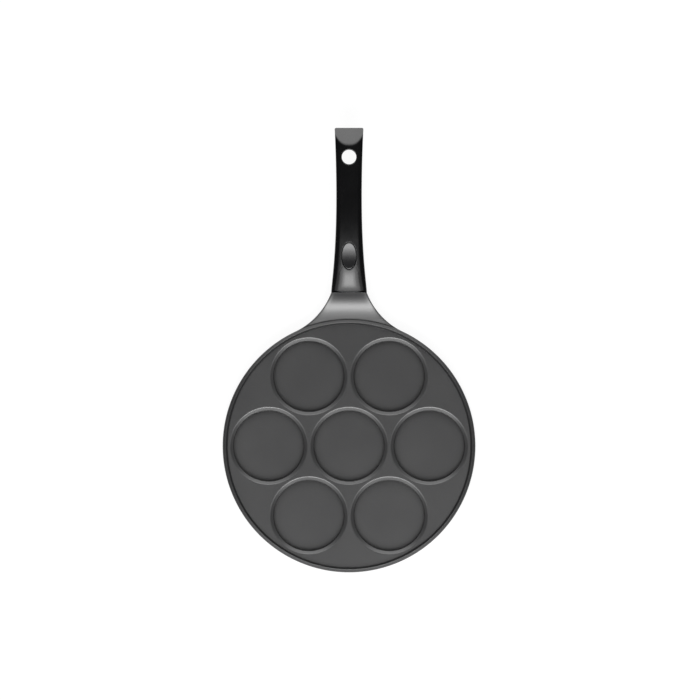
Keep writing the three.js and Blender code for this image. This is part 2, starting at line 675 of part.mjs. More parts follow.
const pan = new THREE.Group();
const blank = gripBlank();
pan.add(panBody(), handleGrip(blank), bellyCover(blank), releaseButton(blank), latchFrame);
latchFrame.add(socketSleeve(), latchSpring());
for (const [name, along] of Object.entries(LATCH_SCREWS)) {
  latchFrame.add(partMesh(name, solid(latchScrew(along)), SATIN_STEEL));
}
for (const [name, frame] of Object.entries(COVER_SCREWS)) {
  frame.add(partMesh(name, solid(coverScrew(0)), SATIN_STEEL));
  pan.add(frame);
}

export default pan;
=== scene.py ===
# %% [markdown]
# # A seven-well pancake pan
#
# The pan is one aluminium casting under a charcoal non-stick coat, with a gloss black handle that pulls off
# when the oval button on it is pressed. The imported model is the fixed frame: it says where every piece is.
# Each piece that shows is modelled again here with a finer skin, in millimetres, and scaled to metres at the end.

# %% Load the frame
import math

import bmesh
import bpy
from mathutils import Matrix, Vector
from mathutils.geometry import interpolate_bezier


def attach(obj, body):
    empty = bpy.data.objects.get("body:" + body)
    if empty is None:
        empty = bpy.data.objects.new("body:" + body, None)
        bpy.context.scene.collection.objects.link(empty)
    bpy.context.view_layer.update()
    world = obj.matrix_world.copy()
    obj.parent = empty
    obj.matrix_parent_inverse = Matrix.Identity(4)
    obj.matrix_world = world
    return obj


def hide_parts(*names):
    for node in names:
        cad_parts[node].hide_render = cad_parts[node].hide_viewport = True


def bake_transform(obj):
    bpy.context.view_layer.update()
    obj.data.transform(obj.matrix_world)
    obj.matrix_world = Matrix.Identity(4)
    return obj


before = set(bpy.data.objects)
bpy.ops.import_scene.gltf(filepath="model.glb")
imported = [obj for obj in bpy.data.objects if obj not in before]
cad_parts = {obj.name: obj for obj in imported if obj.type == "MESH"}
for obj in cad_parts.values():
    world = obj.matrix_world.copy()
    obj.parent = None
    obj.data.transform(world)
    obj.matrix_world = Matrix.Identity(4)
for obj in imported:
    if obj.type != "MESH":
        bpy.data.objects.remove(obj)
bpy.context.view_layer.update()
print("nodes:", ", ".join(sorted(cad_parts)))

# %% [markdown]
# ## Camera
#
# The photograph looks straight down with the handle at the top. A far camera with a long lens keeps the rim
# round and the raised handle at its true length; a near camera would swell the handle, which stands higher.

# %% Camera
VIEW_WIDTH = 0.7336
VIEW_CENTRE = (0.0010, 0.1006)
RIM_HEIGHT = 0.0185
CAMERA_HEIGHT = 12.0
SENSOR_WIDTH = 36
camera = bpy.data.objects.new("camera", bpy.data.cameras.new("camera"))
camera.location = (*VIEW_CENTRE, CAMERA_HEIGHT)
camera.data.sensor_width = SENSOR_WIDTH
camera.data.lens = SENSOR_WIDTH * (CAMERA_HEIGHT - RIM_HEIGHT) / VIEW_WIDTH
camera.data.clip_end = 100
bpy.context.collection.objects.link(camera)
bpy.context.scene.camera = camera
print("lens", round(camera.data.lens, 1), "mm")

# %% [markdown]
# ## Node and colour helpers
#
# Every finish below is a small tree of shader nodes. One function adds a node with its settings and its
# links, and one turns a colour as it is written on screen (sRGB) into the linear values that light needs.

# %% Helpers for finishes


def linear(hex_colour):
    """A colour written as #rrggbb, as linear red, green, blue and alpha."""
    channels = [int(hex_colour[i:i + 2], 16) / 255 for i in (1, 3, 5)]
    return [c / 12.92 if c <= 0.04045 else ((c + 0.055) / 1.055) ** 2.4 for c in channels] + [1]


def add(tree, kind, inputs, **settings):
    """Adds a node; an input is given a plain value, or a socket to be linked from."""
    made = tree.nodes.new("ShaderNode" + kind)
    for name, value in settings.items():
        setattr(made, name, value)
    for name, value in inputs.items():
        if isinstance(value, bpy.types.NodeSocket):
            tree.links.new(value, made.inputs[name])
        else:
            made.inputs[name].default_value = value
    return made


def finish_named(name):
    """A new material with an empty tree and its output node."""
    finish = bpy.data.materials.new(name)
    finish.use_nodes = True
    finish.node_tree.nodes.clear()
    return finish, finish.node_tree, add(finish.node_tree, "OutputMaterial", {})


print("#808080 is", round(linear("#808080")[0], 3), "in linear light")

# %% [markdown]
# ## Light
#
# The bright marks on the neck and the handle reflect a wide soft box that leans over the pan from the side away
# from the handle, and a dimmer one beyond the handle. A soft box is brightest in its middle, so each one is
# four panels of different size, one close behind the other. Nothing bright stands left or right, so the sides
# stay dark.

# %% Light
BOXES = {"near": {"lean": 37, "strength": 1.0}, "far": {"lean": -42, "strength": 0.5}}
PANELS = [
    {"width": 1.1, "height": 0.66, "radiance": 2.2},
    {"width": 1.75, "height": 0.98, "radiance": 2.0},
    {"width": 2.9, "height": 1.78, "radiance": 1.6},
    {"width": 5.0, "height": 2.54, "radiance": 0.5},
]
LAMP_AIM = (0, 0.06, 0)
LAMP_DISTANCE = 2.2
LAMP_STEP = 0.03
SKY_STRENGTH = 0.05
for name, box in BOXES.items():
    lean = Matrix.Rotation(math.radians(box["lean"]), 4, "X")
    for number, size in enumerate(PANELS):
        panel = bpy.data.lights.new(f"soft_box_{name}_{number}", "AREA")
        panel.shape = "RECTANGLE"
        panel.size = size["width"]
        panel.size_y = size["height"]
        panel.energy = box["strength"] * size["radiance"] * math.pi * size["width"] * size["height"]
        holder = bpy.data.objects.new(panel.name, panel)
        away = Matrix.Translation((0, 0, LAMP_DISTANCE + LAMP_STEP * number))
        holder.matrix_world = Matrix.Translation(LAMP_AIM) @ lean @ away
        bpy.context.collection.objects.link(holder)

world = bpy.data.worlds.new("studio")
bpy.context.scene.world = world
world.use_nodes = True
world.node_tree.nodes.clear()
sky = add(world.node_tree, "Background", {"Color": linear("#f4f5f6"), "Strength": SKY_STRENGTH})
add(world.node_tree, "OutputWorld", {"Surface": sky.outputs["Background"]})
bpy.context.scene.view_settings.view_transform = "Standard"
print("soft boxes:", ", ".join(BOXES))

# %% [markdown]
# ## Floor
#
# The background is plain white paper. To the eye and in reflections it is lit to white, with a thin layer that
# still takes the shadow of the pan. To all other light it is ordinary matt paper.

# %% Floor
paper, tree, out = finish_named("white_paper")
matt = add(tree, "BsdfDiffuse", {"Color": linear("#e6e6e6")})
thin = add(tree, "BsdfDiffuse", {"Color": linear("#6a6a6a")})
glow = add(tree, "Emission", {"Color": linear("#ffffff"), "Strength": 0.9})
white = add(tree, "AddShader", {0: thin.outputs[0], 1: glow.outputs[0]})
ray = add(tree, "LightPath", {}).outputs
seen = add(tree, "Math", {0: ray["Is Camera Ray"], 1: ray["Is Glossy Ray"]}, operation="ADD")
seen = add(tree, "Math", {0: seen.outputs[0], 1: ray["Is Transmission Ray"]}, operation="ADD", use_clamp=True)
either = add(tree, "MixShader", {0: seen.outputs[0], 1: matt.outputs[0], 2: white.outputs[0]})
tree.links.new(either.outputs[0], out.inputs["Surface"])

FLOOR_SIZE = 40
FLOOR_DROP = 0.0004
bm = bmesh.new()
bmesh.ops.create_grid(bm, x_segments=1, y_segments=1, size=FLOOR_SIZE / 2)
bmesh.ops.translate(bm, verts=bm.verts, vec=(0, 0, -FLOOR_DROP))
mesh = bpy.data.meshes.new("floor")
bm.to_mesh(mesh)
bm.free()
mesh.materials.append(paper)
floor = bpy.data.objects.new("floor", mesh)
bpy.context.collection.objects.link(floor)
print("floor", FLOOR_SIZE, "m wide")

# %% [markdown]
# ## Non-stick coat
#
# The casting is sprayed with charcoal fluoropolymer and baked. The pigment gives a matt dark grey and the dense
# binder a satin sheen. Tone and sheen wander slowly over a few centimetres. Painted shade darkens the coat near
# the foot of each wall, on the walls inside the tray and in the groove between neck and rim, as a per-vertex
# attribute of the casting gives it. On the steep walls the spray only grazes the metal and lands dry, so they get
# a duller copy of the same tree.
# The real grain is about 0.3 mm, too fine for this picture, so it is drawn at about 1 mm.

# %% Non-stick coat
GRAIN_MM = 1.0
CLOUD_MM = 45


def sprayed(name, smooth, dull, ior):
    """The coat, whose roughness wanders between smooth and dull, darkened by painted shade where the casting marks
    it.
    """
    finish, tree, out = finish_named(name)
    place = add(tree, "TexCoord", {}).outputs["Object"]
    grain = add(tree, "TexNoise", {"Vector": place, "Scale": 1000 / GRAIN_MM, "Detail": 2.0, "Roughness": 0.6})
    cloud = add(tree, "TexNoise", {"Vector": place, "Scale": 1000 / CLOUD_MM, "Detail": 3.0, "Roughness": 0.5})
    tone = add(tree, "ValToRGB", {"Fac": cloud.outputs["Fac"]})
    tone.color_ramp.elements[0].color = linear("#363637")
    tone.color_ramp.elements[1].color = linear("#3a3a3a")
    flecked = add(tree, "MapRange", {"Value": grain.outputs["Fac"], "To Min": 0.90, "To Max": 1.10})
    speck = add(tree, "HueSaturation", {"Value": flecked.outputs[0], "Color": tone.outputs["Color"]})
    # Painted shade: the attribute's share mixes the coat towards near-black at wall feet, on walls and in the
    # neck's groove.
    shade_amount = add(tree, "Attribute", {}, attribute_name="painted_shade").outputs["Fac"]
    shaded_colour = add(tree, "MixRGB", {"Fac": shade_amount, "Color1": speck.outputs[0], "Color2": linear("#141414")})
    sheen = add(tree, "MapRange", {"Value": cloud.outputs["Fac"], "To Min": smooth, "To Max": dull})
    bump = add(tree, "Bump", {"Strength": 0.25, "Distance": 0.00005, "Height": grain.outputs["Fac"]})
    coat = add(tree, "BsdfPrincipled", {
        "Base Color": shaded_colour.outputs[0],
        "Roughness": sheen.outputs[0],
        "IOR": ior,
        "Normal": bump.outputs[0],
    })
    tree.links.new(coat.outputs[0], out.inputs["Surface"])
    return finish


non_stick = sprayed("sprayed_non_stick_coat", 0.27, 0.33, 1.9)
dry_non_stick = sprayed("dry_sprayed_non_stick_coat", 0.55, 0.65, 1.35)
print("grain", GRAIN_MM, "mm, clouds", CLOUD_MM, "mm")

# %% [markdown]
# ## Turned base
#
# The underside is turned flat on a lathe after coating, which leaves bare aluminium with fine rings around
# the axis. A sine of the distance from the axis gives the rings. The real tool marks are about 0.3 mm apart
# and are drawn 1.2 mm apart so that they show. Stains a few centimetres wide make the sheen uneven.

# %% Turned base
RING_MM = 1.2
STAIN_MM = 30
turned_aluminium, tree, out = finish_named("turned_bare_aluminium")
place = add(tree, "TexCoord", {}).outputs["Object"]
flat_place = add(tree, "VectorMath", {0: place, 1: (1, 1, 0)}, operation="MULTIPLY")
radius = add(tree, "VectorMath", {0: flat_place.outputs[0]}, operation="LENGTH")
phase = add(tree, "Math", {0: radius.outputs["Value"], 1: 2000 * math.pi / RING_MM}, operation="MULTIPLY")
rings = add(tree, "Math", {0: phase.outputs[0]}, operation="SINE")
stain = add(tree, "TexNoise", {"Vector": place, "Scale": 1000 / STAIN_MM, "Detail": 4.0})
rough = add(tree, "MapRange", {"Value": stain.outputs["Fac"], "To Min": 0.26, "To Max": 0.40})
bump = add(tree, "Bump", {"Strength": 0.35, "Distance": 0.00008, "Height": rings.outputs[0]})
metal = add(tree, "BsdfPrincipled", {
    "Base Color": linear("#c9cacb"),
    "Metallic": 1.0,
    "Roughness": rough.outputs[0],
    "Normal": bump.outputs[0],
})
tree.links.new(metal.outputs[0], out.inputs["Surface"])
print("rings every", RING_MM, "mm")

# %% [markdown]
# ## Black phenolic
#
# The handle, its cover and its button are pressed in phenolic resin in polished moulds. The eye sees deep
# black with clear reflections, slightly uneven like calm water, and a few dull patches from handling.
# The button's dish is rubbed by the thumb, so it gets a duller copy of the same tree.

# %% Black phenolic
RIPPLE_MM = 9
HANDLED_MM = 24


def phenolic(name, colour, smooth, dull):
    """The resin, whose roughness wanders between smooth and dull."""
    finish, tree, out = finish_named(name)
    place = add(tree, "TexCoord", {}).outputs["Object"]
    ripple = add(tree, "TexNoise", {"Vector": place, "Scale": 1000 / RIPPLE_MM, "Detail": 1.0})
    handled = add(tree, "TexNoise", {"Vector": place, "Scale": 1000 / HANDLED_MM, "Detail": 5.0, "Roughness": 0.6})
    rubbed = add(tree, "MapRange", {"Value": handled.outputs["Fac"], "To Min": smooth, "To Max": dull})
    bump = add(tree, "Bump", {"Strength": 0.12, "Distance": 0.00006, "Height": ripple.outputs["Fac"]})
    resin = add(tree, "BsdfPrincipled", {
        "Base Color": linear(colour),
        "Roughness": rubbed.outputs[0],
        "Normal": bump.outputs[0],
        "IOR": 1.63,
    })
    tree.links.new(resin.outputs[0], out.inputs["Surface"])
    return finish


black_phenolic = phenolic("polished_black_phenolic", "#070708", 0.12, 0.22)
button_phenolic = phenolic("rubbed_black_phenolic", "#1d1d1e", 0.18, 0.26)
print("phenolic ripple", RIPPLE_MM, "mm")

# %% [markdown]
# ## Satin steel
#
# The sleeve, the leaf spring and the screws are stainless steel strip and wire, brushed along their length.
# Noise stretched along Y draws the brushing, about 0.4 mm wide and 20 mm long.

# %% Satin steel
BRUSH_MM = 0.4
BRUSH_LENGTH_MM = 20
satin_steel, tree, out = finish_named("brushed_stainless_steel")
place = add(tree, "TexCoord", {}).outputs["Object"]
stretch = (1000 / BRUSH_MM, 1000 / BRUSH_LENGTH_MM, 1000 / BRUSH_MM)
along = add(tree, "Mapping", {"Vector": place, "Scale": stretch})
brushed = add(tree, "TexNoise", {"Vector": along.outputs[0], "Scale": 1.0, "Detail": 2.0})
rough = add(tree, "MapRange", {"Value": brushed.outputs["Fac"], "To Min": 0.24, "To Max": 0.42})
bump = add(tree, "Bump", {"Strength": 0.2, "Distance": 0.00003, "Height": brushed.outputs["Fac"]})
steel = add(tree, "BsdfPrincipled", {
    "Base Color": linear("#bdbdbb"),
    "Metallic": 1.0,
    "Roughness": rough.outputs[0],
    "Normal": bump.outputs[0],
})
tree.links.new(steel.outputs[0], out.inputs["Surface"])
print("brushing", BRUSH_MM, "by", BRUSH_LENGTH_MM, "mm")

# %% [markdown]
# ## Helpers for pieces
#
# A piece starts as a bmesh in millimetres. `combine` joins or cuts two closed shapes with a Boolean modifier,
# and `keep` closes the seams, turns the faces outwards, scales to metres and hands the piece to the frame.
# Weighted normals let the big flat faces stay flat beside their rounded edges.

# %% Helpers for pieces
WELD = 1e-4
SHARP = math.radians(38)
MILLIMETRE = 0.001


def closed(bm):
    """Merges the doubles of a shape and points its faces outwards."""
    bmesh.ops.remove_doubles(bm, verts=bm.verts, dist=WELD)
    bmesh.ops.recalc_face_normals(bm, faces=bm.faces)
    return bm


def as_object(name, bm):
    """A new object in the scene, made of a bmesh that is then freed."""
    mesh = bpy.data.meshes.new(name)
    bm.to_mesh(mesh)
    bm.free()
    made = bpy.data.objects.new(name, mesh)
    bpy.context.collection.objects.link(made)
    return made


def combine(bm, other, operation):
    """The union or difference of two closed shapes, as a new bmesh."""
    first = as_object("first", closed(bm))
    second = as_object("second", closed(other))
    boolean = first.modifiers.new("boolean", "BOOLEAN")
    boolean.object = second
    boolean.operation = operation
    boolean.solver = "EXACT"
    result = bmesh.new()
    result.from_object(first, bpy.context.evaluated_depsgraph_get())
    for used in (first, second):
        bpy.data.meshes.remove(used.data)
    return closed(result)


def keep(name, bm, finishes, body, slot, *nodes):
    """Makes a finished piece and hands it to the frame in place of its CAD nodes; one that bends has no body."""
    closed(bm)
    bmesh.ops.scale(bm, vec=(MILLIMETRE, MILLIMETRE, MILLIMETRE), verts=bm.verts)
    loose = sum(not e.is_manifold for e in bm.edges)
    piece = as_object(name, bm)
    for finish in finishes:
        piece.data.materials.append(finish)
    piece.data.shade_smooth()
    piece.data.set_sharp_from_angle(angle=SHARP)
    piece.modifiers.new("flat_faces", "WEIGHTED_NORMAL").keep_sharp = True
    if body:
        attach(piece, body)
    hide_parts(*nodes)
    print(name, len(piece.data.polygons), "faces,", loose, "open edges")
    return piece


def turned(profile, steps, rounding=None, centre=(0, 0, 0)):
    """Spins a profile of radius and height about an upright axis; rounding gives some corners a radius."""
    bm = bmesh.new()
    corners = [bm.verts.new((r, 0, z)) for r, z in profile]
    for a, b in zip(corners, corners[1:]):
        bm.edges.new((a, b))
    for index, offset in (rounding or {}).items():
        bmesh.ops.bevel(bm, geom=[corners[index]], offset=offset, segments=6, profile=0.5,
                        affect="VERTICES", material=-1)
    bmesh.ops.spin(bm, geom=bm.verts[:] + bm.edges[:], cent=(0, 0, 0), axis=(0, 0, 1),
                   angle=2 * math.pi, steps=steps, use_merge=True)
    bmesh.ops.remove_doubles(bm, verts=bm.verts, dist=WELD)
    bmesh.ops.translate(bm, verts=bm.verts, vec=centre)
    return bm


print("edges sharper than", round(math.degrees(SHARP)), "degrees stay sharp")

# %% [markdown]
# ## Tray and wells
#
# On the real pan the tray, its rim and the wells come out of one mould. The tray and each well are round, so
# each is a profile that is spun about its own axis. The flat plate between them is filled last, from the foot
# of the rim wall to the lips of the seven wells, so every lip keeps an even rounded edge.

# %% Tray
PLATE = 13.5
FLOOR = 5
RIM_RADIUS = 132.5
RIM_TOP = 18.5
RIM_INNER = 129.3
RIM_EDGE = 16.5
RIM_LIP = 15.8
BASE_RADIUS = 112
BASE_STEP = 0.8
FLANK = [(131.6, 15.3), (129.6, FLOOR), (126.6, BASE_STEP), (114, BASE_STEP)]
FLANK_POINTS = 18
TRAY_STEPS = 256
flank = interpolate_bezier(*[Vector(corner) for corner in FLANK], FLANK_POINTS)
tray_profile = [
    (126.6, PLATE),
    (127.3, PLATE),
    (RIM_INNER, RIM_TOP),
    (RIM_RADIUS, RIM_EDGE),
    (RIM_RADIUS, RIM_LIP),
    *[(p.x, p.y) for p in flank],
    (BASE_RADIUS, BASE_STEP),
    (BASE_RADIUS, 0),
    (0, 0),
]
base_edge = len(tray_profile) - 2
pan = turned(tray_profile, TRAY_STEPS, {1: 0.08, 2: 0.4, 3: 0.6, base_edge: 0.3})
print("tray profile of", len(tray_profile), "corners,", len(pan.faces), "faces")

# %% Wells
WELL_PITCH = 84.2
WELL_STEPS = 128
well_profile = [(42, PLATE), (40.6, PLATE), (37.3, 11.6), (36.9, FLOOR), (34, FLOOR), (29, FLOOR), (0, FLOOR)]
well_places = [(0, 0, 0)]
for step in range(6):
    turn = step * math.pi / 3
    well_places.append((WELL_PITCH * math.cos(turn), WELL_PITCH * math.sin(turn), 0))
for centre in well_places:
    well = turned(well_profile, WELL_STEPS, {1: 0.6, 2: 0.2, 3: 0.08}, centre)
    mesh = bpy.data.meshes.new("well")
    well.to_mesh(mesh)
    well.free()
    pan.from_mesh(mesh)
    bpy.data.meshes.remove(mesh)
print(len(well_places), "wells")

# %% Plate between the wells
lips = [e for e in pan.edges if e.is_boundary]
bmesh.ops.triangle_fill(pan, use_beauty=True, use_dissolve=False, edges=lips, normal=(0, 0, 1))
closed(pan)
print("plate filled from", len(lips), "edges, volume", round(pan.calc_volume() / 1000), "cubic centimetres")

# %% [markdown]
# ## Neck
#
# The neck flares out of the rim in plan and rises to the handle in one sweep. In plan each side is an arc that
# touches the rim and ends at a corner of the joint. A grid is bent into a tube round the neck: one side of the
# grid runs along it and the other round its section, flat on top with soft corners.
# Beside the rim its slope follows the round rim, and at the joint it follows the straight end of the handle.
# Where the flare has met the rim, its outline runs on along the rim and sinks slowly into the flank, so it has
# no step at its end. What would show inside the tray is cut away in the thickness of the rim wall.

# %% Neck outline
NECK_SWEEP = 74
JOINT_Y = 160.7
JOINT_HALF_WIDTH = 18.8
FADE_LENGTH = 20
FADE_DEPTH = 5

reach = math.hypot(JOINT_HALF_WIDTH, JOINT_Y)
far = RIM_RADIUS + NECK_SWEEP
along = (far ** 2 - NECK_SWEEP ** 2 + reach ** 2) / (2 * reach)
across = math.sqrt(far ** 2 - along ** 2)
sweep_x = (JOINT_HALF_WIDTH * along + JOINT_Y * across) / reach
sweep_y = (JOINT_Y * along - JOINT_HALF_WIDTH * across) / reach
start_x, start_y = sweep_x * RIM_RADIUS / far, sweep_y * RIM_RADIUS / far
root_y = start_y - FADE_LENGTH
print("the flare meets the rim", round(start_x, 1), "mm from the middle")

# %% Neck curves


def curve(points, t):
    """A point of a cubic curve, for plain numbers."""
    a, b, c, d = points
    s = 1 - t
    return a * s ** 3 + 3 * b * s * s * t + 3 * c * s * t * t + d * t ** 3


def curve_place(points, value):
    """The parameter at which a rising cubic curve has a value."""
    low, high = 0.0, 1.0
    for _ in range(30):
        middle = (low + high) / 2
        low, high = (middle, high) if curve(points, middle) < value else (low, middle)
    return (low + high) / 2


def power_round(turn, power):
    """Across and up shares of a soft-cornered oval, for a share of a full turn; a higher power is boxier."""
    upper = turn < 0.5
    across = math.sin(math.pi / 2 * (1 - 4 * turn if upper else 4 * turn - 3))
    up = (1 - min(1, abs(across)) ** power) ** (1 / power)
    return across, up if upper else -up


NECK_LEAD = 6
NECK_Y = (start_y - NECK_LEAD, 139.1, 144.9, JOINT_Y)
NECK_TOP = (11.6, 16.6, 13.25, 26.5)
NECK_BOTTOM = (6, 6, 5.7, 5.7)
RIM_POWER = 10
FLARE_POWER = 14
JOINT_POWER = 8


def neck_point(y, turn, inset):
    """A point of the neck's skin, at a place along it and a share of a full turn round it."""
    if y > start_y:
        half = sweep_x - math.sqrt(NECK_SWEEP ** 2 - (y - sweep_y) ** 2)
    else:
        half = math.sqrt((RIM_RADIUS - FADE_DEPTH * ((start_y - y) / FADE_LENGTH) ** 2) ** 2 - y * y)
    straight = min(1, max(0, (y - RIM_RADIUS) / (JOINT_Y - RIM_RADIUS)))
    boxy = RIM_POWER + FLARE_POWER * (half / JOINT_HALF_WIDTH - 1)
    out, up = power_round(turn, boxy + (JOINT_POWER - boxy) * straight ** 3)
    x = (half - inset) * out
    t = curve_place(NECK_Y, y * straight + math.hypot(x, y) * (1 - straight))
    top = curve(NECK_TOP, t) - inset
    bottom = curve(NECK_BOTTOM, t) + inset
    return Vector((x, y, (top + bottom) / 2 + (top - bottom) / 2 * up))


print("neck top at the rim:", round(curve(NECK_TOP, curve_place(NECK_Y, RIM_RADIUS)), 2), "mm")

# %% Neck skin
NECK_ROWS = 96
NECK_COLUMNS = 160
ROUND_ROWS = 5
JOINT_ROUND = 0.35
TRAY_INSIDE = [(0, 0), (126, 0), (126, 12.6), (128.2, 12.6), (130.2, RIM_EDGE), (130.2, 40), (0, 40)]
neck = bmesh.new()
bmesh.ops.create_grid(neck, x_segments=NECK_COLUMNS, y_segments=NECK_ROWS, size=0.5)
for vert in neck.verts:
    turn = (vert.co.x + 0.5) % 1
    row = round((vert.co.y + 0.5) * NECK_ROWS)
    rounded = max(0, row - NECK_ROWS + ROUND_ROWS) / ROUND_ROWS * math.pi / 2
    share = min(1, row / (NECK_ROWS - ROUND_ROWS))
    end_y = JOINT_Y - JOINT_ROUND * (1 - math.sin(rounded))
    vert.co = neck_point(root_y + (end_y - root_y) * share, turn, JOINT_ROUND * (1 - math.cos(rounded)))
bmesh.ops.remove_doubles(neck, verts=neck.verts, dist=WELD)
bmesh.ops.holes_fill(neck, edges=[e for e in neck.edges if e.is_boundary], sides=0)
neck = combine(neck, turned(TRAY_INSIDE, TRAY_STEPS), "DIFFERENCE")
print("neck of", len(neck.faces), "faces")

# %% [markdown]
# ## Tongue
#
# The casting ends in a flat tongue that the handle slides on, with a notch underneath for the latch. It is
# drawn as a side view, given its width by extruding, and its long edges are rounded. It only shows when the
# handle is off.

# %% Tongue
TONGUE_ANGLE = math.radians(16.5)
TONGUE_LEVEL = 17.9
TONGUE_WIDTH = 20
TONGUE_ROUND = 0.6
TONGUE_SIDE = [(-8, -3.5), (20.5, -3.5), (20.5, -1.2), (26, -1.2), (26, -3.5), (28.5, -3.5), (30, -2),
               (30, 2), (28.5, 3.5), (-8, 3.5)]
latch_frame = Matrix.Translation((0, JOINT_Y, TONGUE_LEVEL)) @ Matrix.Rotation(TONGUE_ANGLE, 4, "X")


def side_slab(points, width):
    """A side view, as distances along Y and up Z, given a width along X."""
    bm = bmesh.new()
    face = bm.faces.new([bm.verts.new((-width / 2, y, z)) for y, z in points])
    pushed = bmesh.ops.extrude_face_region(bm, geom=[face])["geom"]
    bmesh.ops.translate(bm, verts=[v for v in pushed if isinstance(v, bmesh.types.BMVert)], vec=(width, 0, 0))
    bmesh.ops.recalc_face_normals(bm, faces=bm.faces)
    return bm


tongue = side_slab(TONGUE_SIDE, TONGUE_WIDTH)
sides = [e for e in tongue.edges if e.is_convex and abs(e.verts[0].co.x - e.verts[1].co.x) < 0.1]
bmesh.ops.bevel(tongue, geom=sides, offset=TONGUE_ROUND, segments=3, profile=0.5, affect="EDGES", material=-1)
bmesh.ops.transform(tongue, matrix=latch_frame, verts=tongue.verts)
print("tongue of", len(tongue.faces), "faces")

# %% [markdown]
# ## Pan body
#
# Tray, neck and tongue are joined into one casting. A table gives the share of painted shade near the foot and on
# the wall of a well, on the rim's wall and in the groove where the neck meets the rim, by the distance in
# millimetres from the axis of the well or of the pan. Each vertex between a table's two heights gets its share.
# The steep walls inside the tray get the dry coat, and the base is bare.

# %% Pan body
# Painted shade, as shares of near-black mixed into the coat by radius: darkest at the wall feet and in the groove.
WELL_SHADE = [(29, 0), (34, 0.15), (36.8, 0.7), (36.85, 0.9), (37.25, 0.6), (37.3, 0)]
WELL_LOW, WELL_HIGH = FLOOR - 0.1, PLATE - 0.5
RIM_SHADE = [(126.7, 0), (127.2, 0.6), (127.3, 0.45), (129.1, 0.45), (129.2, 0)]
RIM_LOW, RIM_HIGH = PLATE - 0.1, RIM_TOP - 0.2
NECK_SHADE = [(131.8, 0.85), (133.4, 0.85), (134.4, 0)]
NECK_LOW, NECK_HIGH = PLATE, RIM_EDGE - 0.4
WALL_LEVEL = 0.45
BARE_HEIGHT = 0.2
pan = combine(pan, neck, "UNION")
pan = combine(pan, tongue, "UNION")
painted_shade = pan.verts.layers.float.new("painted_shade")


def shade_share_at(table, radius):
    """The share at a radius, along straight lines between the rows of a table, and none outside it."""
    share = 0
    for (r0, s0), (r1, s1) in zip(table, table[1:]):
        if r0 <= radius <= r1:
            share = s0 + (s1 - s0) * (radius - r0) / (r1 - r0)
    return share


# Each vertex gets its share of painted shade.
for vert in pan.verts:
    spot = vert.co.xy
    if WELL_LOW < vert.co.z < WELL_HIGH:
        vert[painted_shade] = shade_share_at(WELL_SHADE, min((spot - Vector(place[:2])).length for place in well_places))
    elif RIM_LOW < vert.co.z < RIM_HIGH:
        vert[painted_shade] = shade_share_at(RIM_SHADE, spot.length)
    if start_y < spot.y and NECK_LOW < vert.co.z < NECK_HIGH:
        vert[painted_shade] = shade_share_at(NECK_SHADE, spot.length)
for face in pan.faces:
    middle = face.calc_center_median()
    if middle.z < BARE_HEIGHT:
        face.material_index = 1
    elif abs(face.normal.z) < WALL_LEVEL and middle.xy.length < RIM_INNER and middle.z > FLOOR:
        face.material_index = 2
keep("cast_pan", pan, [non_stick, turned_aluminium, dry_non_stick], "pan", "coated_casting", "pan_body")

# %% [markdown]
# ## Handle grip
#
# The grip narrows from the neck to a waist and widens to its end. Curves along it give its half-width, top and
# belly, and a grid is bent into a tube round them. Its section is a soft oval, a little too wide, whose sides
# are cut off upright with a soft edge, a little less at the front. Near the end the top is pressed down on a
# sloping flat.

# %% Grip curves
GRIP_Y = (161, 181, 223, 333)
GRIP_HALF_WIDTH = (18.8, 17.3, 10.2, 15.1)
GRIP_TOP = (26.5, 38.997, 45.1, 45.1)
GRIP_BELLY = (5.7, 12.5, 24.3, 27.8)
GRIP_SPREAD = 0.2
FRONT_SHARE = 0.6
SIDE_SOFT = 0.35
BUTTON_Y = 199
END_FLAT_Y = 314.5
END_FLAT_SLOPE = math.tan(math.radians(14.5))
END_FLAT_SOFT = 0.25


def soft_min(a, b, soft):
    """The lesser of two values, with a rounded change-over."""
    return (a + b - math.hypot(a - b, soft)) / 2


def grip_section(t):
    """The share of the side cut, and the power of the oval, which gets a little boxier towards the end."""
    return FRONT_SHARE + (1 - FRONT_SHARE) * min(1, 2 * t), 2 + t ** 3 / 2


def pressed(z, y):
    """A height of the skin, pressed down on the sloping flat near the end."""
    return soft_min(z, GRIP_TOP[3] - (y - END_FLAT_Y) * END_FLAT_SLOPE, END_FLAT_SOFT)


def grip_point(y, turn, inset):
    """A point of the grip's skin, at a place along it and a share of a full turn round it."""
    t = curve_place(GRIP_Y, y)
    settled, power = grip_section(t)
    top = curve(GRIP_TOP, t) - inset
    bottom = curve(GRIP_BELLY, t) + inset
    half = curve(GRIP_HALF_WIDTH, t) - inset
    out, up = power_round(turn, power)
    wide = half * (1 + GRIP_SPREAD * settled) * abs(out)
    x = math.copysign(soft_min(wide, half, SIDE_SOFT * settled), out)
    return Vector((x, y, pressed((top + bottom) / 2 + (top - bottom) / 2 * up, y)))


def skin_height(x, y, side):
    """Height of the grip's skin over a plan point: side 1 is its top and side -1 is its belly."""
    t = curve_place(GRIP_Y, y)
    settled, power = grip_section(t)
    top, bottom = curve(GRIP_TOP, t), curve(GRIP_BELLY, t)
    half = curve(GRIP_HALF_WIDTH, t)
    wide = abs(x) + (SIDE_SOFT * settled) ** 2 / (4 * max(0.01, half - abs(x)))
    share = min(1, wide / (half * (1 + GRIP_SPREAD * settled)))
    return pressed((top + bottom) / 2 + side * (top - bottom) / 2 * (1 - share ** power) ** (1 / power), y)


print("grip top at the button:", round(skin_height(0, BUTTON_Y, 1), 2), "mm")

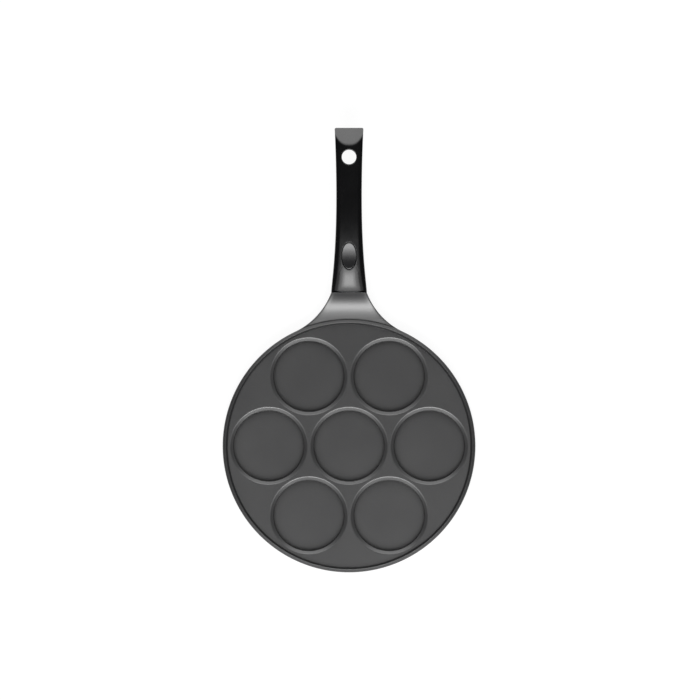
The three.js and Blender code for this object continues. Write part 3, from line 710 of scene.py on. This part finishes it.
# %% Grip skin
GRIP_ROWS = 230
GRIP_COLUMNS = 144
SEAM = 0.06
FRONT_ROUND = 0.35
END_ROUND = 1.6
grip = bmesh.new()
bmesh.ops.create_grid(grip, x_segments=GRIP_COLUMNS, y_segments=GRIP_ROWS, size=0.5)
row_mark = grip.verts.layers.int.new("row")
column_mark = grip.verts.layers.int.new("column")
front_y = JOINT_Y + SEAM + FRONT_ROUND
rear_y = GRIP_Y[3] - END_ROUND
for vert in grip.verts:
    turn = (vert.co.x + 0.5) % 1
    row = round((vert.co.y + 0.5) * GRIP_ROWS)
    front = max(0, ROUND_ROWS - row) / ROUND_ROWS * math.pi / 2
    rear = max(0, row - GRIP_ROWS + ROUND_ROWS) / ROUND_ROWS * math.pi / 2
    share = min(1, max(0, (row - ROUND_ROWS) / (GRIP_ROWS - 2 * ROUND_ROWS)))
    y = front_y + (rear_y - front_y) * share - FRONT_ROUND * math.sin(front) + END_ROUND * math.sin(rear)
    inset = FRONT_ROUND * (1 - math.cos(front)) + END_ROUND * (1 - math.cos(rear))
    vert[row_mark], vert[column_mark] = row, round(turn * GRIP_COLUMNS)
    vert.co = grip_point(y, turn, inset)
bmesh.ops.remove_doubles(grip, verts=grip.verts, dist=WELD)
bmesh.ops.holes_fill(grip, edges=[e for e in grip.edges if e.is_boundary], sides=0)
bmesh.ops.recalc_face_normals(grip, faces=grip.faces)
print("grip skin of", len(grip.faces), "faces")

# %% [markdown]
# ## Openings in the grip
#
# The hanging hole and the button's well have softly rounded edges. A patch of the skin is taken out, the border
# that is left is extruded onto an oval, and more extrusions roll the edge over and go down as the wall.
# A Boolean cut would leave a hard edge here, and a bevel on its uneven cut would tear.

# %% Helpers for openings
EDGE_STEPS = 5
EDGE_LEAD = 1.2
SKIN_TRIES = 6


def open_border(bm, place, across, along, middle):
    """Takes whole rows and columns of the skin out of a box round a place and gives back the border."""
    reach = place.inverted()
    rows = {v[row_mark] for v in bm.verts if v[column_mark] == middle and abs((reach @ v.co).y) < along}
    band = [v for v in bm.verts if v[row_mark] in rows and abs(v[column_mark] - middle) < GRIP_COLUMNS / 4]
    outside = {v[column_mark] for v in band if abs((reach @ v.co).x) > across}
    patch = {v for v in band if v[column_mark] not in outside}
    gone = {f for f in bm.faces if all(v in patch for v in f.verts)}
    border = [e for e in bm.edges if sum(f in gone for f in e.link_faces) == 1]
    bmesh.ops.delete(bm, geom=list(gone), context="FACES")
    return border


def roll_edge(bm, border, place, across, along, side, rounding, end):
    """Extrudes a border onto an oval in the skin, rolls it over and takes it on as a wall to an end height."""
    reach = place.inverted()
    up = place.to_3x3() @ Vector((0, 0, 1))
    steps = [(rounding + EDGE_LEAD, 0), (rounding, 0)]
    for step in range(1, EDGE_STEPS + 1):
        turn = math.pi / 2 * step / EDGE_STEPS
        steps.append((rounding * (1 - math.sin(turn)), rounding * (1 - math.cos(turn))))
    steps.append((0, None))
    for grow, sink in steps:
        pushed = bmesh.ops.extrude_edge_only(bm, edges=border)["geom"]
        border = [e for e in pushed if isinstance(e, bmesh.types.BMEdge) and e.is_boundary]
        for vert in [v for v in pushed if isinstance(v, bmesh.types.BMVert)]:
            spot = reach @ vert.co
            turn = math.atan2(spot.y / along, spot.x / across)
            foot = max(grow, rounding)
            outer = place @ Vector(((across + foot) * math.cos(turn), (along + foot) * math.sin(turn), 0))
            for _ in range(SKIN_TRIES):
                outer += up * (skin_height(outer.x, outer.y, side) - outer.z) * up.z
            height = end if sink is None else (reach @ outer).z - sink
            vert.co = place @ Vector(((across + grow) * math.cos(turn), (along + grow) * math.sin(turn), height))
    return border


print("rolled edges in", EDGE_STEPS, "steps")

# %% Openings
BUTTON_TILT = math.radians(9.2645)
BUTTON_WELL = (7.9, 14.7)
BUTTON_PATCH = (10.5, 17.5)
BUTTON_WELL_ROUND = 0.5
BUTTON_WELL_DEPTH = 5.6
HOLE_Y = 302.5
HOLE_MIDDLE = 36.5
HOLE = (7.6, 7.6)
HOLE_PATCH = (10.4, 10.4)
HOLE_ROUND = 0.9
HOLE_WALL_END = 1
TOP_COLUMN = GRIP_COLUMNS // 4
BELLY_COLUMN = 3 * TOP_COLUMN
button_place = (0, BUTTON_Y, skin_height(0, BUTTON_Y, 1))
button_frame = Matrix.Translation(button_place) @ Matrix.Rotation(BUTTON_TILT, 4, "X")
hole_top = Matrix.Translation((0, HOLE_Y, HOLE_MIDDLE))
hole_belly = hole_top @ Matrix.Rotation(math.pi, 4, "Y")
well_border = open_border(grip, button_frame, *BUTTON_PATCH, TOP_COLUMN)
top_border = open_border(grip, hole_top, *HOLE_PATCH, TOP_COLUMN)
belly_border = open_border(grip, hole_belly, *HOLE_PATCH, BELLY_COLUMN)
well_floor = roll_edge(grip, well_border, button_frame, *BUTTON_WELL, 1, BUTTON_WELL_ROUND, -BUTTON_WELL_DEPTH)
bmesh.ops.holes_fill(grip, edges=well_floor, sides=0)
upper = roll_edge(grip, top_border, hole_top, *HOLE, 1, HOLE_ROUND, HOLE_WALL_END)
lower = roll_edge(grip, belly_border, hole_belly, *HOLE, -1, HOLE_ROUND, HOLE_WALL_END)
bmesh.ops.bridge_loops(grip, edges=upper + lower)
print("openings made,", sum(not e.is_manifold for e in grip.edges), "open edges left")

# %% [markdown]
# ## Hollow of the grip
#
# Inside, the grip has the socket for the tongue, a well for the button's flange, the hollow of the latch and
# the seat of the cover in its belly. None of these edges shows from above, so plain Boolean cuts do.

# %% Helpers for the hollow
SLAB_ROWS = 120
SLAB_COLUMNS = 24
FLANGE_SHIFT = 3
FLANGE_STEPS = 64


def belly_slab(front, rear, width, low, high):
    """A round-ended slab that follows the belly of the grip, between two heights over it."""
    bm = bmesh.new()
    bmesh.ops.create_grid(bm, x_segments=SLAB_COLUMNS, y_segments=SLAB_ROWS, size=0.5)
    radius = width / 2
    for vert in bm.verts:
        turn = math.pi * (vert.co.y + 0.5)
        y = (front + rear) / 2 - (rear - front) / 2 * math.cos(turn)
        past = max(front + radius - y, y - rear + radius, 0)
        half = math.sqrt(max(0, radius ** 2 - past ** 2))
        x = 2 * half * vert.co.x
        vert.co = (x, y, skin_height(x, y, -1) + low)
    bmesh.ops.remove_doubles(bm, verts=bm.verts, dist=WELD)
    pushed = bmesh.ops.extrude_face_region(bm, geom=bm.faces[:])["geom"]
    lifted = [v for v in pushed if isinstance(v, bmesh.types.BMVert)]
    bmesh.ops.translate(bm, verts=lifted, vec=(0, 0, high - low))
    return closed(bm)


def flange_oval(profile, across, along, rounding=None):
    """Spins a profile, stretches it to an oval and sets it under the button, a little behind its middle."""
    bm = turned(profile, FLANGE_STEPS, rounding)
    bmesh.ops.scale(bm, vec=(across, along, 1), verts=bm.verts)
    bmesh.ops.translate(bm, vec=(0, FLANGE_SHIFT, 0), verts=bm.verts)
    bmesh.ops.transform(bm, matrix=button_frame, verts=bm.verts)
    return bm


print("slabs of", SLAB_ROWS, "rows")

# %% Hollow
GAP = 0.3
COVER_FRONT = 170.33
COVER_REAR = 257.77
COVER_WIDTH = 20
COVER_THICKNESS = 2
SEAT_BELOW = -6
SOCKET_SIDE = [(-30, -4.9), (31.3, -4.9), (31.3, 4.9), (-30, 4.9)]
SOCKET_WIDTH = 22.8
HOLLOW_SIDE = [(182.33, 5), (245.69, 5), (245.69, 38.28), (215.8, 29.42), (215.8, 37.82), (182.33, 32.36)]
HOLLOW_WIDTH = 15
socket = side_slab(SOCKET_SIDE, SOCKET_WIDTH)
bmesh.ops.transform(socket, matrix=latch_frame, verts=socket.verts)
cutters = {
    "socket": socket,
    "flange well": flange_oval([(0, -7.7), (1, -7.7), (1, -3.4), (0, -3.4)], 9.9, 7.3),
    "latch hollow": side_slab(HOLLOW_SIDE, HOLLOW_WIDTH),
    "cover seat": belly_slab(COVER_FRONT - GAP, COVER_REAR + GAP, COVER_WIDTH + 2 * GAP, SEAT_BELOW,
                             COVER_THICKNESS + GAP),
}
for name, cutter in cutters.items():
    grip = combine(grip, cutter, "DIFFERENCE")
    print(name, "cut,", round(grip.calc_volume() / 1000, 1), "cubic centimetres left")
keep("moulded_grip", grip, [black_phenolic], "handle", "black_phenolic", "handle_grip")

# %% [markdown]
# ## Release button
#
# The button is an oval cap, dished along its length, flush with the grip at its two ends. It is spun as a round
# disc, stretched to an oval and pressed: every point of its top goes to the grip's skin or to the dish,
# whichever is lower, with a soft change-over. The flange keeps it in, and the stem reaches down to the latch
# spring, where it is cut off along the leaf.

# %% Release button
CAP_ACROSS = 7.6
CAP_ALONG = 14.4
CAP_THICKNESS = 3.1
DISH_DEPTH = 1.8
DISH_RADIUS = (CAP_ALONG ** 2 + DISH_DEPTH ** 2) / (2 * DISH_DEPTH)
DISH_SOFT = 0.12
CAP_ROLL = 0.5
CAP_ROLL_WIDTH = 0.06
CAP_RINGS = 36
CAP_STEPS = 128
disc = [(step / CAP_RINGS, 0) for step in range(CAP_RINGS)]
button = turned([*disc, (1, 0), (1, -CAP_THICKNESS), (0, -CAP_THICKNESS)], CAP_STEPS)
bmesh.ops.scale(button, vec=(CAP_ACROSS, CAP_ALONG, 1), verts=button.verts)
for vert in button.verts:
    if vert.co.z > -CAP_THICKNESS / 2:
        x, y, _ = vert.co
        skin = button_frame @ vert.co
        skin.z = skin_height(skin.x, skin.y, 1)
        level = (button_frame.inverted() @ skin).z
        dish = DISH_RADIUS - DISH_DEPTH - math.sqrt(DISH_RADIUS ** 2 - y ** 2)
        rim = math.hypot(x / CAP_ACROSS, y / CAP_ALONG)
        rolled = CAP_ROLL * max(0, rim - (1 - CAP_ROLL_WIDTH)) ** 2 / CAP_ROLL_WIDTH ** 2
        vert.co.z = soft_min(level, dish, DISH_SOFT) - rolled
bmesh.ops.transform(button, matrix=button_frame, verts=button.verts)
print("cap of", len(button.faces), "faces")

# %% Flange and stem
FLANGE = [(0, -5.2), (1, -5.2), (1, -3.7), (0.8, -3.7), (0.78, -3.0), (0, -3.0)]
STEM = [(0, -4.5), (2.6, -4.5), (2.6, -20), (0, -20)]
STEM_END = -4.6
SMALL_STEPS = 48
flange = flange_oval(FLANGE, 9.6, 7, {1: 0.04})
stem = turned(STEM, SMALL_STEPS)
bmesh.ops.transform(stem, matrix=button_frame, verts=stem.verts)
leaf_up = latch_frame.to_3x3() @ Vector((0, 0, 1))
bmesh.ops.bisect_plane(stem, geom=stem.verts[:] + stem.edges[:] + stem.faces[:], dist=WELD, clear_inner=True,
                       plane_co=latch_frame @ Vector((0, 0, STEM_END)), plane_no=leaf_up)
bmesh.ops.holes_fill(stem, edges=[e for e in stem.edges if e.is_boundary], sides=0)
button = combine(combine(button, flange, "UNION"), stem, "UNION")
keep("release_button_cap", button, [button_phenolic], "button", "button_phenolic", "release_button")

# %% [markdown]
# ## Belly cover and its screws
#
# A moulded cover closes the hollow from below and follows the belly. Two countersunk screws with a cross recess
# hold it. Each screw is spun, and two crossed slabs cut its recess.

# %% Belly cover
SCREW_Y = {"cover_screw_front": 176.33, "cover_screw_rear": 251.77}
SINK = [(0, -6), (3.1, -6), (3.1, 0.3), (1.8, 1.6), (1.8, 5), (0, 5)]


def belly_frame(y):
    """A frame on the belly whose Z points into the grip."""
    rise = skin_height(0, y + 0.5, -1) - skin_height(0, y - 0.5, -1)
    return Matrix.Translation((0, y, skin_height(0, y, -1))) @ Matrix.Rotation(math.atan(rise), 4, "X")


cover = belly_slab(COVER_FRONT, COVER_REAR, COVER_WIDTH, 0, COVER_THICKNESS)
for y in SCREW_Y.values():
    sink = turned(SINK, SMALL_STEPS)
    bmesh.ops.transform(sink, matrix=belly_frame(y), verts=sink.verts)
    cover = combine(cover, sink, "DIFFERENCE")
keep("moulded_cover", cover, [black_phenolic], "handle", "black_phenolic", "belly_cover")

# %% Cover screws
SCREW = [(0, 0.3), (2.8, 0.3), (2.8, 0.45), (1.5, 1.7), (1.5, 5.2), (0, 5.2)]
SLOT_SIDE = [(-1.7, -0.5), (1.7, -0.5), (1.3, 1.5), (-1.3, 1.5)]
SLOT_WIDTH = 0.7
for name, y in SCREW_Y.items():
    screw = turned(SCREW, SMALL_STEPS)
    for turn in (0, math.pi / 2):
        slot = side_slab(SLOT_SIDE, SLOT_WIDTH)
        bmesh.ops.rotate(slot, verts=slot.verts, cent=(0, 0, 0), matrix=Matrix.Rotation(turn, 3, "Z"))
        screw = combine(screw, slot, "DIFFERENCE")
    bmesh.ops.transform(screw, matrix=belly_frame(y), verts=screw.verts)
    keep("countersunk_" + name, screw, [satin_steel], "handle", "steel", name)

# %% [markdown]
# ## Latch spring
#
# The latch is a leaf of spring steel, bent up at its front into a hook. The stem of the button presses it down,
# so its front follows the button and its rear stays on its seat in the grip. Cuts across the leaf let it bend.

# %% Latch spring
LEAF_SIDE = [(25.1, -5.5), (83.1, -5.5), (83.1, -4.9), (25.7, -4.9), (25.7, -1.5), (25.1, -1.5)]
LEAF_WIDTH = 12
BEND_ROUND = 0.5
LEAF_CUTS = range(27, 83, 2)
spring = side_slab(LEAF_SIDE, LEAF_WIDTH)
bend = [e for e in spring.edges if all(v.co.y < 26 and v.co.z < -4 for v in e.verts)
        and abs(e.verts[0].co.x - e.verts[1].co.x) > 1 and e.verts[0].co.z < -5]
bmesh.ops.bevel(spring, geom=bend, offset=BEND_ROUND, segments=5, profile=0.5, affect="EDGES", material=-1)
for cut in LEAF_CUTS:
    bmesh.ops.bisect_plane(spring, geom=spring.verts[:] + spring.edges[:] + spring.faces[:], dist=WELD,
                           plane_co=(0, cut, 0), plane_no=(0, 1, 0))
bmesh.ops.transform(spring, matrix=latch_frame, verts=spring.verts)
leaf = keep("leaf_spring", spring, [satin_steel], None, "steel", "latch_spring")
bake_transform(leaf)

# %% [markdown]
# ## Other steel pieces
#
# The sleeve and the screws of the latch are hidden inside the handle, so their CAD shapes stay, with the brushed
# finish.

# %% Other steel pieces
for name in ("socket_sleeve", "latch_screw_front", "latch_screw_rear"):
    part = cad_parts[name]
    part.data.materials.clear()
    part.data.materials.append(satin_steel)
print("steel pieces finished")
